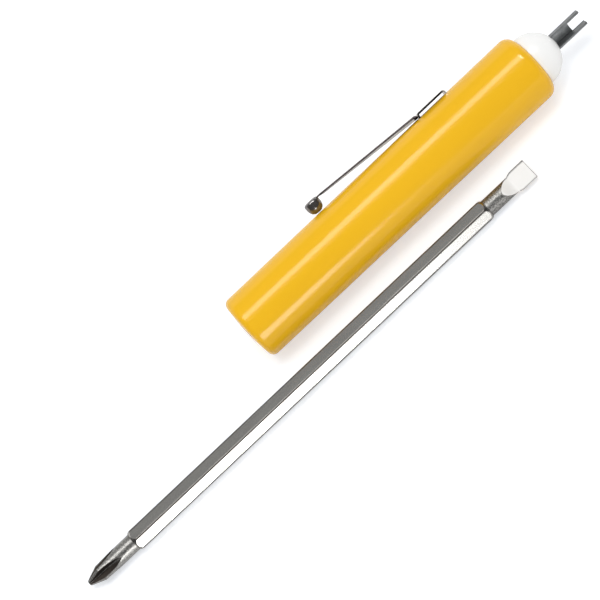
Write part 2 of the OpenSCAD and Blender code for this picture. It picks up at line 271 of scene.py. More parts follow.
def revolve(profile, base, along, out, columns=160):
    """Grid of a turned shape: base, plus each length along the axis, plus each radius times a circle."""
    angle = np.linspace(0, 2 * np.pi, columns, endpoint=False)
    circle = np.cos(angle)[:, None] * out + np.sin(angle)[:, None] * np.cross(along, out)
    lengths, radii = np.asarray(profile).T
    return base + lengths[:, None, None] * along + radii[:, None, None] * circle


def grid_quads(rows, columns, join_rows, join_columns):
    """Corner numbers of a grid's quads, the last row or column joined to the first where asked."""
    i, j = np.meshgrid(
        np.arange(rows if join_rows else rows - 1),
        np.arange(columns if join_columns else columns - 1),
        indexing="ij",
    )
    here, below = i * columns, (i + 1) % rows * columns
    right = (j + 1) % columns
    return np.stack([here + j, here + right, below + right, below + j], -1)


def write_mesh(name, points, faces, marks):
    """A mesh of points and faces, with one number per point for each mark."""
    mesh = bpy.data.meshes.new(name)
    mesh.from_pydata(points.tolist(), [], faces)
    for mark, values in marks.items():
        mesh.attributes.new(mark, "FLOAT", "POINT").data.foreach_set("value", np.ravel(values))
    return mesh


def ring_mesh(name, points):
    """Mesh of a grid that closes on itself both ways, as a tube with walls does."""
    rows, columns = points.shape[:2]
    quads = grid_quads(rows, columns, join_rows=True, join_columns=True).reshape(-1, 4)
    return write_mesh(name, points.reshape(-1, 3), quads.tolist(), {})


def bar_mesh(name, points, first, last, marks=None):
    """Mesh of a grid that closes round its columns, with a fan from an end point over each end row."""
    rows, columns = points.shape[:2]
    quads = grid_quads(rows, columns, join_rows=False, join_columns=True).reshape(-1, 4)
    ring = np.arange(columns)
    after = np.roll(ring, -1)
    end = (rows - 1) * columns
    fans = [
        np.stack([after, ring, np.full(columns, rows * columns)], -1),
        np.stack([end + ring, end + after, np.full(columns, rows * columns + 1)], -1),
    ]
    verts = np.vstack([points.reshape(-1, 3), first, last])
    values = {mark: np.append(v, [v.flat[0], v.flat[-1]]) for mark, v in (marks or {}).items()}
    return write_mesh(name, verts, quads.tolist() + np.vstack(fans).tolist(), values)


def sheet_mesh(name, points, thickness, marks, offset=0.0, cut=None, edge=0.0):
    """Mesh of an open grid of sheet metal: quads that are cut go, the rest get a thickness.

    Edges sharper than 50 degrees are broken where an edge width is given.
    """
    rows, columns = points.shape[:2]
    quads = grid_quads(rows, columns, join_rows=False, join_columns=False)
    kept = quads.reshape(-1, 4) if cut is None else quads[~cut]
    flat = write_mesh(name, points.reshape(-1, 3), kept.tolist(), marks)
    piece = bpy.data.objects.new(name, flat)
    bpy.context.scene.collection.objects.link(piece)
    solid = piece.modifiers.new("thickness", "SOLIDIFY")
    solid.thickness = thickness
    solid.offset = offset
    solid.use_even_offset = True
    if edge:
        bevel = piece.modifiers.new("edges", "BEVEL")
        bevel.width = edge
        bevel.segments = 2
        bevel.limit_method = "ANGLE"
        bevel.angle_limit = math.radians(50)
    made = bpy.data.meshes.new_from_object(piece.evaluated_get(bpy.context.evaluated_depsgraph_get()))
    bpy.data.objects.remove(piece)
    bpy.data.meshes.remove(flat)
    return made


def finish_piece(name, mesh, material, body, node, sharp=35):
    """Turns faces outwards, shades smooth up to an angle and sets the piece in the frame for a CAD node."""
    work = bmesh.new()
    work.from_mesh(mesh)
    bmesh.ops.delete(work, geom=[v for v in work.verts if not v.link_faces], context="VERTS")
    bmesh.ops.recalc_face_normals(work, faces=work.faces)
    work.to_mesh(mesh)
    work.free()
    mesh.shade_smooth()
    mesh.set_sharp_from_angle(angle=math.radians(sharp))
    mesh.materials.clear()
    mesh.materials.append(material)
    piece = bpy.data.objects.new(name, mesh)
    bpy.context.scene.collection.objects.link(piece)
    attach(piece, body)
    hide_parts(node)


def barrel_grid(s):
    """Turned tube: mouth, rounded edge, drafted side, rounded top edge, top, bay, step and socket bore.

    The mouth's face swells out by 1 - u squared, where u is the share of the way from the axis to the
    rounded edge.
    """
    draft = math.degrees(math.atan((s.top_r - s.mouth_r) / HANDLE_LEN))
    rim = s.mouth_r - s.mouth_round
    round_x = HANDLE_LEN - s.top_round
    u = np.linspace(s.socket_r / rim, 1, 9)[:-1]
    face = np.stack([s.swell * (u ** 2 - 1), rim * u], -1)
    profile = [
        face,
        arc((s.mouth_round, rim), s.mouth_round, 180, 90 + draft),
        line((s.mouth_round, s.mouth_r), (round_x, s.top_r), 40)[1:-1],
        arc((round_x, s.top_r - s.top_round), s.top_round, 90 + draft, 0, 18),
        line((HANDLE_LEN, s.bay_r), (s.socket_len, s.bay_r), 5),
        line((s.socket_len, s.socket_r), face[0], 5)[:-1],
    ]
    return revolve(np.vstack(profile), HANDLE_AXIS + ALONG * MOUTH_X, ALONG, UP)


def plug_grid(s):
    """Turned plug: spigot with a lead-in, then a wider foot with a soft edge, then half a sphere."""
    soft = 0.25 * s.foot
    lead_x = -0.97 * s.spigot
    lead_r = 0.9 * s.spigot_r
    profile = [
        line((-s.spigot, lead_r), (lead_x, s.spigot_r), 1),
        line((lead_x, s.spigot_r), (0, s.spigot_r), 5)[1:],
        arc((soft, s.dome_r - soft), soft, 180, 90, 5),
        arc((s.foot, 0), s.dome_r, 90, 2, 40),
    ]
    return revolve(np.vstack(profile), HANDLE_AXIS + ALONG * TOP_X, ALONG, UP)


def fork_grid(s):
    """Folded channel: side, bend, back, bend and side as one path across, carried along the handle.

    Each prong's end is drawn back along a quarter circle near its two edges. Returns the grid, the quads
    that the slot takes out, and how far inside the channel each point lies, from 0 to 1.
    """
    half_w = (s.fork_w - s.fork_t) / 2
    low = (s.fork_t - s.fork_depth) / 2
    high = s.fork_depth / 2
    bend = 1.5 * s.fork_t
    left = np.vstack([
        line((-half_w, high), (-half_w, low + bend), 14)[:-1],
        arc((-half_w + bend, low + bend), bend, 180, 270, 10),
    ])
    back = line((-half_w + bend, low), (half_w - bend, low), 9)[1:-1]
    path = np.vstack([left, back, left[::-1] * (-1, 1)])
    slot_x = FORK_TIP - s.fork_slot
    round_x = FORK_TIP - 2 * s.prong_round
    x = np.concatenate([
        np.linspace(FORK_START, slot_x, 40),
        np.linspace(slot_x, round_x, 14)[1:],
        np.linspace(round_x, FORK_TIP, 9)[1:],
    ])[:, None]
    from_edge = np.minimum(high - path[:, 1], path[:, 1] - low + s.fork_t / 2)
    near = 1 - np.clip(from_edge / s.prong_round, 0, 1)
    drawn = s.prong_round * (1 - np.sqrt(1 - near ** 2))
    open_side = across(np.array(s.fork_turn))
    section = path[:, :1] * np.cross(ALONG, open_side) + path[:, 1:] * open_side
    lengths = x - drawn * np.clip((x - round_x) / (FORK_TIP - round_x), 0, 1)
    between_prongs = np.abs(path[1:, 0] + path[:-1, 0]) / 2 < s.fork_w / 2 - s.fork_t
    past_slot = x[1:] > slot_x + 0.01 * MM
    inside = 1 - smooth(np.abs(path[:, 0]), half_w - bend, half_w)
    grid = HANDLE_AXIS + lengths[..., None] * ALONG + section
    return grid, past_slot & between_prongs, np.broadcast_to(inside, lengths.shape)


def clip_strip(x, side, out):
    """Grid of points on the clip: lengths along the handle, distances sideways and from its axis."""
    return HANDLE_AXIS + x[..., None] * ALONG + side[..., None] * CLIP_SIDE + out[..., None] * CLIP_OUT


def plate_grid(s):
    """Strip of sheet: tang, bend, plate, bend and tang as a path, wide on the plate, narrow on the tangs.

    Returns the grid and how dark each point is painted, as a painted dark reflection: along its edges, but
    hardly at the far bend.
    """
    bend = 1.6 * s.sheet
    near = np.vstack([
        line((PLATE_NEAR + s.sheet / 2, TANG_LOW), (PLATE_NEAR + s.sheet / 2, PLATE_TOP - bend), 8)[:-1],
        arc((PLATE_NEAR + bend, PLATE_TOP - bend), bend - s.sheet / 2, 180, 90, 10),
    ])
    start, end = PLATE_NEAR + bend, PLATE_FAR - bend
    rounding = s.corner * (1 - np.cos(np.radians(np.linspace(0, 90, 10)[1:])))
    x = np.concatenate([
        start + rounding,
        np.linspace(start + s.corner, end - s.corner, 12)[1:-1],
        end - rounding[::-1],
    ])
    plate = np.stack([x, np.full_like(x, PLATE_TOP - s.sheet / 2)], -1)
    far = near[::-1] * (-1, 1) + (PLATE_NEAR + PLATE_FAR, 0)
    path = np.vstack([near, plate, far])
    inside = np.clip(np.minimum(path[:, 0] - start, end - path[:, 0]) / s.corner, 0, 1)
    half_w = s.tang_w / 2 + (s.plate_w - s.tang_w) / 2 * np.sqrt(1 - (1 - inside) ** 2)
    across_w = np.linspace(-1, 1, 21)
    # painted dark reflection: darkest towards the plate's edges, lifted over its middle and at the far bend
    shade_lifted = 1 - smooth(np.abs(across_w), 0.5, 0.85)
    darkened = 0.9 - 0.8 * smooth(path[:, :1], end - 0.1 * MM, end + 0.5 * MM)
    grid = clip_strip(path[:, :1], half_w[:, None] * across_w, path[:, 1:])
    return grid, darkened * (1 - 0.8 * shade_lifted)


def arm_grid(s):
    """Channel of sheet that narrows and rises from root to ball.

    Across, it is side, bend, a slightly crowned top, bend and side. Along, its width and the depth of its
    sides change in a straight line, its shoulders draw in to the neck, and its root curls down to the barrel.
    Returns the grid and how dark each point is painted: a painted dark reflection along the two bends and
    painted shade at the root, not on the top's middle.
    """
    shoulder_len = 0.9 * MM
    shoulder_start = 0.35 * MM
    curl_len = 0.5 * MM
    curl_drop = 0.25 * MM
    bend_r = 0.3 * MM
    crown_h = 0.06 * MM
    least_side = 0.02 * MM
    ball_x = (BALL_NEAR + BALL_FAR) / 2
    end_x = BALL_FAR + s.neck
    root_x = ARM_ROOT - 0.1 * MM
    near_root_x = root_x - 1.6 * MM
    x = np.concatenate([
        np.linspace(ball_x, BALL_FAR, 4)[:-1],
        np.linspace(BALL_FAR, end_x + shoulder_len, 26)[:-1],
        np.linspace(end_x + shoulder_len, near_root_x, 30)[:-1],
        np.linspace(near_root_x, root_x, 16),
    ])[:, None]
    share = np.clip((x - end_x) / (root_x - end_x), 0, 1)
    shoulder = np.sqrt(np.clip((x - end_x + shoulder_start) / shoulder_len, 0, 1))
    curl = curl_drop * (1 - np.sqrt(1 - np.clip((x - root_x) / curl_len + 1, 0, 1) ** 2))
    half_w = (s.neck_w + (s.end_w + (s.root_w - s.end_w) * share - s.neck_w) * shoulder) / 2
    side = s.end_side + (s.root_side - s.end_side) * share - curl
    side = s.arm_sheet + np.maximum(side - s.arm_sheet, least_side) * shoulder
    rise = (ARM_TOP - PLATE_TOP) / (ARM_ROOT - end_x)
    top = PLATE_TOP + (ARM_ROOT - np.maximum(x, end_x)) * rise - curl
    bend = np.minimum(bend_r, 0.6 * side)
    angle = np.radians(np.linspace(0, 90, 8))
    flat = np.linspace(-1, 1, 13)[1:-1]
    up_side = np.linspace(1, 0, 4, endpoint=False)
    left_w = np.hstack([-half_w + 0 * up_side, -half_w + bend * (1 - np.cos(angle))])
    left_h = np.hstack([(bend - side) * up_side - bend, bend * (np.sin(angle) - 1)])
    crown = crown_h * half_w / s.root_w * 2 * (1 - flat ** 2)
    sideways = np.hstack([left_w, (half_w - bend) * flat, -left_w[:, ::-1]])
    heights = np.hstack([left_h, crown, left_h[:, ::-1]])
    # painted dark reflection along the two bends, and painted shade at the root where the arm meets the
    # barrel
    crest = smooth(heights, -0.42 * MM, -0.28 * MM) * smooth(np.abs(sideways) / half_w, 0.45, 0.8)
    dark = np.maximum(crest, smooth(x, root_x - 1.0 * MM, root_x - 0.7 * MM))
    return clip_strip(x, sideways, top + heights), dark


def ball_grid(s):
    """Turned knob: a bowl below its widest ring and a cap over it.

    The shares of width and height, each raised to a power, add up to 1: power 2.5 in the bowl, 4 in the cap.
    """
    bowl_root, cap_root = 2 / 2.5, 2 / 4
    bowl_h = (BALL_TOP - BALL_LOW) * s.bowl
    cap_h = BALL_TOP - BALL_LOW - bowl_h
    steep = np.radians(89) * smooth(np.linspace(0, 1, 28), 0, 1)
    below, over = steep[::-1], steep[1:]
    widths = np.concatenate([np.cos(below) ** bowl_root, np.cos(over) ** cap_root])
    heights = np.concatenate([-bowl_h * np.sin(below) ** bowl_root, cap_h * np.sin(over) ** cap_root])
    profile = np.stack([BALL_LOW + bowl_h + heights, 0.49 * (BALL_FAR - BALL_NEAR) * widths], -1)
    base = HANDLE_AXIS + ALONG * (BALL_NEAR + BALL_FAR) / 2
    return revolve(profile, base, CLIP_OUT, CLIP_SIDE, columns=72), base


def nearest(angle, step, start):
    """Signed angle from the nearest of the directions start, start + step and so on."""
    return (angle - start + step / 2) % step - step / 2


def spread(offset, base_half, edge, span):
    """Moves columns so that those at base_half from a middle lie on an edge, and those at span stay."""
    d = np.abs(offset)
    outer = edge + (d - base_half) / (span - base_half) * (span - edge)
    return np.sign(offset) * np.where(d <= base_half, d / base_half * edge, outer)


def hexagon_r(angle, flats, rounding):
    """Radius of a hexagon, flats above and below, at an angle from straight up, and where it has a corner."""
    twelfth = math.pi / 6
    off = np.abs(nearest(angle, 2 * twelfth, twelfth))
    centre = (flats / 2 - rounding) / math.cos(twelfth)
    on_flat = flats / 2 / np.cos(twelfth - off)
    on_corner = centre * np.cos(off) + np.sqrt(np.maximum(rounding ** 2 - (centre * np.sin(off)) ** 2, 0))
    edge = math.atan2(rounding * math.sin(twelfth), centre + rounding * math.cos(twelfth))
    return np.where(off < edge, on_corner, on_flat), 1 - smooth(off, edge, 1.7 * edge)


def cross_end_rows(s, base):
    """Cross tip: a cone on a round neck with four flutes, each a right-angled groove.

    A flute's floor runs straight at flute_low from the axis, then rises along an arc to the neck's radius.
    At an angle w from a flute's middle its wall has the radius floor / (cos w - sin w). Columns follow the
    flutes' edges. The groove mark is the flutes' painted shade, less along the middle of their floor,
    where that gap makes a painted highlight.
    """
    first_ring = 0.1 * MM
    floor_round = 0.08
    lift_half = 0.13
    dark_depth = 0.05 * MM
    rise = s.neck_r - s.flute_low
    run = s.flute - s.flute_flat
    wheel = (run ** 2 + rise ** 2) / (2 * rise)
    x = np.concatenate([
        [0],
        np.linspace(first_ring, s.cone, 44)[:-1],
        np.linspace(s.cone, s.flute, 70)[:-1],
        np.linspace(s.flute, s.cross_len, 14),
    ])[:, None]
    blunt = np.where(x > 0, 1, 0.75)
    body = np.minimum(s.point_r + (s.neck_r - s.point_r) * x / s.cone, s.neck_r) * blunt
    floor = s.flute_low + wheel - np.sqrt(wheel ** 2 - np.clip(x - s.flute_flat, 0, run) ** 2)
    eighth = math.pi / 4
    edge = np.arccos(np.minimum(floor / (math.sqrt(2) * body), math.sqrt(0.5))) - eighth
    base_half = math.radians(30)
    columns = np.maximum(edge, math.radians(2))
    columns = columns + (base_half - columns) * smooth(x, s.flute, s.cross_len)
    offset = nearest(base, math.pi / 2, s.cross_turn)
    angle = spread(offset, base_half, columns, eighth)
    soft = np.sqrt(angle ** 2 + floor_round ** 2)
    wall = floor / np.maximum(np.cos(angle) - np.sin(soft), 1e-3)
    radius = np.minimum(body, wall)
    # painted highlight: the flutes' painted shade is lifted along the middle of their floor
    shade_lifted = 0.6 * np.exp(-((angle / lift_half) ** 2))
    groove = np.clip((body - radius) / dark_depth, 0, 1) * (1 - shade_lifted)
    # painted shade on the last ring, where the cross end meets the hexagon
    corner = (x >= s.cross_len) + 0 * radius
    return x + 0 * radius, radius, base - offset + angle, {"groove": groove, "edge": corner}


def hexagon_rows(s, base):
    """Hexagonal bar with both ends turned to a cone of 30 degrees, whose edge the end rows follow."""
    hexagon, corner = (part[None, :] for part in hexagon_r(base, s.flats, s.corner))
    face_r = (s.neck_r + s.flats / 2) / 2
    rise = (hexagon - face_r) * np.linspace(0, 1, 5)[:, None]
    depth = rise / math.tan(math.pi / 6)
    start = s.cross_len + depth
    stop = SLOT_X - CROSS_X - s.slot_len - depth[::-1]
    middle = np.linspace(start[-1], stop[0], 18)[1:-1]
    radius = np.vstack([face_r + rise, np.repeat(hexagon, len(middle), 0), face_r + rise[::-1]])
    # painted shade along the hexagon's rounded corners and on the cones at its ends
    edge = corner + 0 * radius
    cone_edge = np.array([1, 0.8, 0.8, 0.8])[:, None]
    edge[:4], edge[-4:] = cone_edge, cone_edge[::-1]
    return np.vstack([start, middle, stop]), radius, base + 0 * radius, {"edge": edge}


def slotted_end_rows(s, base):
    """Slotted tip: a round neck with two faces that run out in a shoulder, flared to the tip's width.

    A face lies half the tip's thickness from the axis at the tip and rises in a straight line to the foot of
    the shoulder, then in a smooth step to the neck's radius. Columns follow the faces' edges.
    """
    last_edge = 0.06 * MM
    t = np.concatenate([
        np.linspace(s.slot_len, s.face, 14)[:-1],
        np.linspace(s.face, s.foot, 56)[:-1],
        np.linspace(s.foot, last_edge, 34),
        [0],
    ])[:, None]
    foot_h = 0.6 * s.tip_t
    top_h = s.neck_r + 0.05 * MM
    straight = s.tip_t / 2 + (foot_h - s.tip_t / 2) * t / s.foot
    half_t = np.where(t < s.foot, straight, foot_h + (top_h - foot_h) * smooth(t, s.foot, s.face))
    waist = 0.93 * s.neck_r
    flare_start = 0.75 * s.foot
    flare_end = s.foot + 0.24 * (s.face - s.foot)
    flare = s.tip_w / 2 + (waist - s.tip_w / 2) * smooth(t, flare_start, flare_end)
    flare = np.where(t < flare_end, flare, 0)
    half_w = np.maximum(flare, np.sqrt(np.maximum(s.neck_r ** 2 - half_t ** 2, 0)))
    edge = np.where(half_t < s.neck_r, np.arctan2(half_w, half_t), 0)
    base_half = math.radians(60)
    columns = np.maximum(edge, math.radians(2))
    columns = columns + (base_half - columns) * smooth(t, s.face, s.slot_len)
    offset = nearest(base, math.pi, s.slot_turn)
    angle = spread(offset, base_half, columns, math.pi / 2)
    on_face = half_t / np.maximum(np.cos(angle), 1e-3)
    side = np.clip(flare / np.maximum(np.abs(np.sin(angle)), 1e-3), s.neck_r, np.hypot(half_w, half_t))
    radius = np.where(np.abs(angle) < edge, on_face, np.where(half_t < s.neck_r, side, s.neck_r))
    blunt = np.where(t > 0, 1, 0.97)
    # marks the faces that are painted near white, a painted reflection on ground steel
    face = np.where((np.abs(angle) <= edge) & (half_t < s.neck_r), 1.0, 0.0)
    # painted shade: each face's rim near the tip, the tip's end and the last ring before the hexagon
    rim = (np.abs(np.abs(offset) - base_half) < 0.01) & (t < s.foot)
    corner = ((t >= s.slot_len) | (t <= last_edge) | rim) + 0 * radius
    lengths = SLOT_X - CROSS_X - t + 0 * radius
    return lengths, radius * blunt, base - offset + angle, {"face": face, "edge": corner}


def blade_grid(s):
    """Closed grid round the blade's axis: each point has a length, a radius and an angle from straight up.

    The turned mark says how rough a section was left by turning: the necks, but not the drawn hexagon.
    """
    columns = 192
    base = np.radians(np.arange(columns) * 360 / columns)
    sections = [cross_end_rows(s, base), hexagon_rows(s, base), slotted_end_rows(s, base)]
    x, radius, angle, marks = zip(*sections)
    for mark, part, turned in zip(marks, radius, (0.85, 0, 1)):
        mark["turned"] = turned + 0 * part
    names = ("turned", "groove", "edge", "face")
    marks = {name: np.vstack([m.get(name, 0 * r) for m, r in zip(marks, radius)]) for name in names}
    x, radius, angle = (np.vstack(part) for part in (x, radius, angle))
    return BLADE_AXIS + (CROSS_X + x)[..., None] * ALONG + radius[..., None] * across(angle), marks


# Materials


class Term:
    """A socket's value in a material, on which sums are written as Python expressions."""

    def __init__(self, look, socket):
        self.look = look
        self.socket = socket

    def also(self, output):
        """Another output of the same node."""
        return Term(self.look, self.socket.node.outputs[output])

    def work_out(self, operation, *terms):
        """Result of one of Blender's sums on terms or plain numbers."""
        return self.look.node("ShaderNodeMath", {"operation": operation}, dict(enumerate(terms)))

    def __add__(self, other):
        return self.work_out("ADD", self, other)

    def __sub__(self, other):
        return self.work_out("SUBTRACT", self, other)

    def __rsub__(self, other):
        return self.work_out("SUBTRACT", other, self)

    def __mul__(self, other):
        return self.work_out("MULTIPLY", self, other)

    __radd__ = __add__
    __rmul__ = __mul__

    def between(self, low, high):
        """0 at low and 1 at high, in a straight line that stops at both."""
        return self.look.node("ShaderNodeMapRange", {"clamp": True}, {0: self, 1: low, 2: high})


class Look:
    """A material or world whose nodes are added by one method."""

    def __init__(self, owner):
        owner.use_nodes = True
        self.owner = owner
        self.tree = owner.node_tree

    def node(self, kind, settings=None, inputs=None, output=0):
        """Adds a node with its settings and inputs, and gives one of its outputs."""
        made = self.tree.nodes.new(kind)
        for name, value in (settings or {}).items():
            setattr(made, name, value)
        for name, value in (inputs or {}).items():
            self.plug(made.inputs[name], value)
        return Term(self, made.outputs[output])

    def plug(self, socket, value):
        """Links a term to an input, or sets the input to a number or a colour."""
        if isinstance(value, Term):
            self.tree.links.new(value.socket, socket)
        elif isinstance(value, (int, float)):
            socket.default_value = value
        else:
            value = tuple(value)
            socket.default_value = (*value, 1) if socket.type == "RGBA" else value


class Finish(Look):
    """A surface finish on one principled shader."""

    def __init__(self, name, **constants):
        super().__init__(bpy.data.materials.new(name))
        self.place = self.node("ShaderNodeTexCoord", output="Object")
        for label, value in constants.items():
            self.set(label, value)

    def set(self, label, value):
        """Plugs a value into the shader's input of that name."""
        socket = label.replace("_", " ").title().replace("Ior", "IOR")
        self.plug(self.tree.nodes["Principled BSDF"].inputs[socket], value)

    def mark(self, name):
        """A number that the mesh holds for each point."""
        return self.node("ShaderNodeAttribute", {"attribute_name": name}, output="Fac")

    def noise(self, scale, stretch=1, detail=3):
        """Cloudy pattern from 0 to 1: scale in cycles per metre, drawn out along the handle by a stretch."""
        moved = self.node("ShaderNodeMapping", None, {"Vector": self.place, "Scale": (1 / stretch, 1, 1)})
        return self.node("ShaderNodeTexNoise", None, {"Vector": moved, "Scale": scale, "Detail": detail})

    def mix(self, share, first, second):
        """Colour that goes from the first to the second as the share goes from 0 to 1."""
        return self.node("ShaderNodeMix", {"data_type": "RGBA"}, {0: share, 6: first, 7: second}, 2)

    def bump(self, height, depth):
        """Relief whose height of 1 stands out by the depth in metres."""
        inputs = {"Height": height, "Distance": depth, "Strength": 1}
        self.set("normal", self.node("ShaderNodeBump", None, inputs))


def shade(tone, factor):
    """A colour made darker or lighter by a factor."""
    return tuple(min(1.0, value * factor) for value in tone)


def gloss_plastic(name, tone, roughness, wave):
    """Moulded plastic: clouded colour, fine skin, faint sink waves and hairline scuffs."""
    look = Finish(name, ior=1.49, specular_ior_level=0.28)
    cloud = look.noise(45, stretch=3, detail=2)
    skin = look.noise(2600, detail=2)
    waves = look.noise(130, stretch=4, detail=1)
    scuffs = look.noise(900, stretch=14, detail=4).between(0.62, 0.72)
    look.set("base color", look.mix(cloud.between(0.3, 0.7), shade(tone, 0.965), shade(tone, 1.03)))
    look.set("roughness", roughness + 0.05 * cloud + 0.1 * scuffs)
    look.bump(waves * wave + skin * 0.03 - scuffs * 0.04, 0.05 * MM)
    return look.owner


def fork_steel(s):
    """Pressed sheet with a rough dark skin, more blotched on its back; painted light makes its inside lighter
    and outside darker, painted shade darkens its bends.
    """
    look = Finish("fork_steel", metallic=0.85)
    grain = look.noise(2400, stretch=4, detail=4)
    blotch = look.noise(700)
    inside = look.mark("inside")
    # painted light: a darker copy of the steel for the outside and a lighter one for the inside, standing in
    # for how light falls on them
    outer = look.mix(blotch.between(0.35, 0.7), shade(s.steel, 0.65), shade(s.steel, 0.9))
    inner_lit = look.mix(blotch.between(0.3, 0.7), shade(s.steel, 0.7), shade(s.steel, 1.3))
    # painted shade along the channel's bends, where the inside meets the back
    bends = inside * (1 - inside) * 3.2
    look.set("base color", look.mix(bends, look.mix(inside, outer, inner_lit), shade(s.steel, 0.15)))
    look.set("roughness", 0.4 + 0.2 * grain)
    look.bump(grain * 0.6 + blotch * 0.4, 0.03 * MM)
    return look.owner


def clip_nickel(s):
    """Plated sheet, satin, painted dark along its bends and edges as a painted dark reflection, with plain
    plating where that is lifted.
    """
    look = Finish("clip_nickel")
    dark = look.mark("dark")
    lines = look.noise(1500, stretch=12)
    cloud = look.noise(260, detail=2)
    plate = look.mix(cloud.between(0.3, 0.7), shade(s.nickel, 0.92), shade(s.nickel, 1.05))
    # painted dark reflection: the dark mark turns the plating to the painted dark colour
    look.set("base color", look.mix(dark, plate, s.tarnish))
    look.set("metallic", 0.45 + 0.55 * dark)
    look.set("roughness", 0.16 + 0.1 * lines + 0.05 * cloud)
    look.bump(lines * 0.5 + cloud * 0.5, 0.012 * MM)
    return look.owner


def blade_nickel(s):
    """Plated bar: drawn hexagon, frosty turned necks, faces painted near white as reflection, flutes and
    edges painted as shade.
    """
    look = Finish("blade_nickel")
    turned, groove, edge, face = (look.mark(name) for name in ("turned", "groove", "edge", "face"))
    drawn = look.noise(2600, stretch=40)
    frost = look.noise(3200)
    cloud = look.noise(220, stretch=5, detail=2)
    speckle = 0.5 * cloud.between(0.3, 0.7) + 0.5 * frost.between(0.35, 0.65)
    plate = look.mix(speckle, shade(s.nickel, 0.9), shade(s.nickel, 1.08))
    dull = look.mix(frost.between(0.4, 0.65), shade(s.nickel, 0.18), shade(s.nickel, 0.5))
    # painted reflection: the ground faces get a near-white colour, mostly non-metallic, so they stay bright
    # under any light
    bar = look.mix(face, look.mix(turned, plate, dull), s.ground_and_sheen)
    # painted shade along the edges and corners that the edge mark holds
    edged = look.mix(edge * edge * 0.85, bar, s.flute_edge_shade)
    # painted shade in the flutes, from the groove mark
    look.set("base color", look.mix(groove, edged, s.flute_edge_shade))
    look.set("metallic", 1 - 0.8 * face)
    frosted = turned * turned * (0.2 + 0.25 * frost)
    look.set("roughness", 0.13 + 0.08 * drawn + frosted + 0.12 * (edge + groove + face))
    look.bump(drawn * 0.3 + turned * (1 - face) * frost * 2.0, 0.012 * MM)
    return look.owner


def socket_plastic(s):
    """Moulded plastic with a dull, slightly grained skin."""
    look = Finish("socket_plastic", ior=1.5)
    grain = look.noise(1800)
    look.set("base color", look.mix(grain.between(0.3, 0.7), shade(s.insert, 0.9), shade(s.insert, 1.1)))
    look.set("roughness", 0.45 + 0.15 * grain)
    look.bump(grain, 0.02 * MM)
    return look.owner


def spring_steel(s):
    """Rolled strip with lines along its length."""
    look = Finish("spring_steel", metallic=1.0)
    lines = look.noise(2200, stretch=20)
    look.set("base color", look.mix(lines.between(0.3, 0.7), shade(s.steel, 0.8), shade(s.steel, 1.2)))
    look.set("roughness", 0.28 + 0.14 * lines)
    look.bump(lines, 0.01 * MM)
    return look.owner


# Stage


def at_angle(degrees, distance, x):
    """Place at an angle from the front horizon over the top to the back, at a distance from the X axis."""
    a = math.radians(degrees)
    return np.array((x, -distance * math.cos(a), distance * math.sin(a)))


def add_lamp(name, power, degrees, distance, x, size, shape="RECTANGLE", card=True):
    """Area lamp that faces the object from an angle, its length along the handle.

    A card is seen by mirrors alone, and any other lamp only lights.
    """
    data = bpy.data.lights.new(name, "AREA")
    data.shape = shape
    data.size, data.size_y = size
    data.energy = power
    back = at_angle(degrees, 1, 0)
    matrix = np.eye(4)
    matrix[:3, :3] = np.stack([ALONG, np.cross(back, ALONG), back], -1)
    matrix[:3, 3] = at_angle(degrees, distance, x)
    lamp = bpy.data.objects.new(name, data)
    lamp.matrix_world = Matrix(matrix.tolist())
    lamp.visible_glossy = card
    lamp.visible_diffuse = not card
    bpy.context.scene.collection.objects.link(lamp)


def add_camera(scene, s):
    """Camera that looks across the handle from an elevation, rolled so that it rises to the right."""
    to_camera = np.array((0.0, -math.cos(s.elevation), math.sin(s.elevation)))
    level_up = np.array((0.0, math.sin(s.elevation), math.cos(s.elevation)))
    target = HANDLE_AXIS + ALONG * (MOUTH_X + s.ahead) - level_up * s.below
    data = bpy.data.cameras.new("camera")
    data.sensor_fit = "HORIZONTAL"
    data.lens = data.sensor_width * s.distance / (s.scale * IMAGE_PX)
    matrix = np.eye(4)
    matrix[:3, 0] = math.cos(s.roll) * ALONG - math.sin(s.roll) * level_up
    matrix[:3, 1] = math.sin(s.roll) * ALONG + math.cos(s.roll) * level_up
    matrix[:3, 2] = to_camera
    matrix[:3, 3] = target + to_camera * s.distance
    camera = bpy.data.objects.new("camera", data)
    camera.matrix_world = Matrix(matrix.tolist())
    scene.collection.objects.link(camera)
    scene.camera = camera


def add_table(scene, s):
    """Large flat pale table, shown to the camera and a little to mirrors as paper lit to white."""
    half = 2.0
    mirrored_glow = 0.06
    mesh = bpy.data.meshes.new("table")
    edge = [(-half, -half, 0), (half, -half, 0), (half, half, 0), (-half, half, 0)]
    mesh.from_pydata(edge, [], [(0, 1, 2, 3)])
    look = Finish("table_paper", roughness=0.9, specular_ior_level=0.0, emission_strength=1.0)
    camera = look.node("ShaderNodeLightPath", output="Is Camera Ray")
    glow = camera * s.glow + camera.also("Is Glossy Ray") * mirrored_glow
    look.set("base color", look.mix(camera, s.table, s.paper))
    look.set("emission color", look.mix(glow, (0, 0, 0), s.tint))
    mesh.materials.append(look.owner)
    table = bpy.data.objects.new("table", mesh)
    scene.collection.objects.link(table)


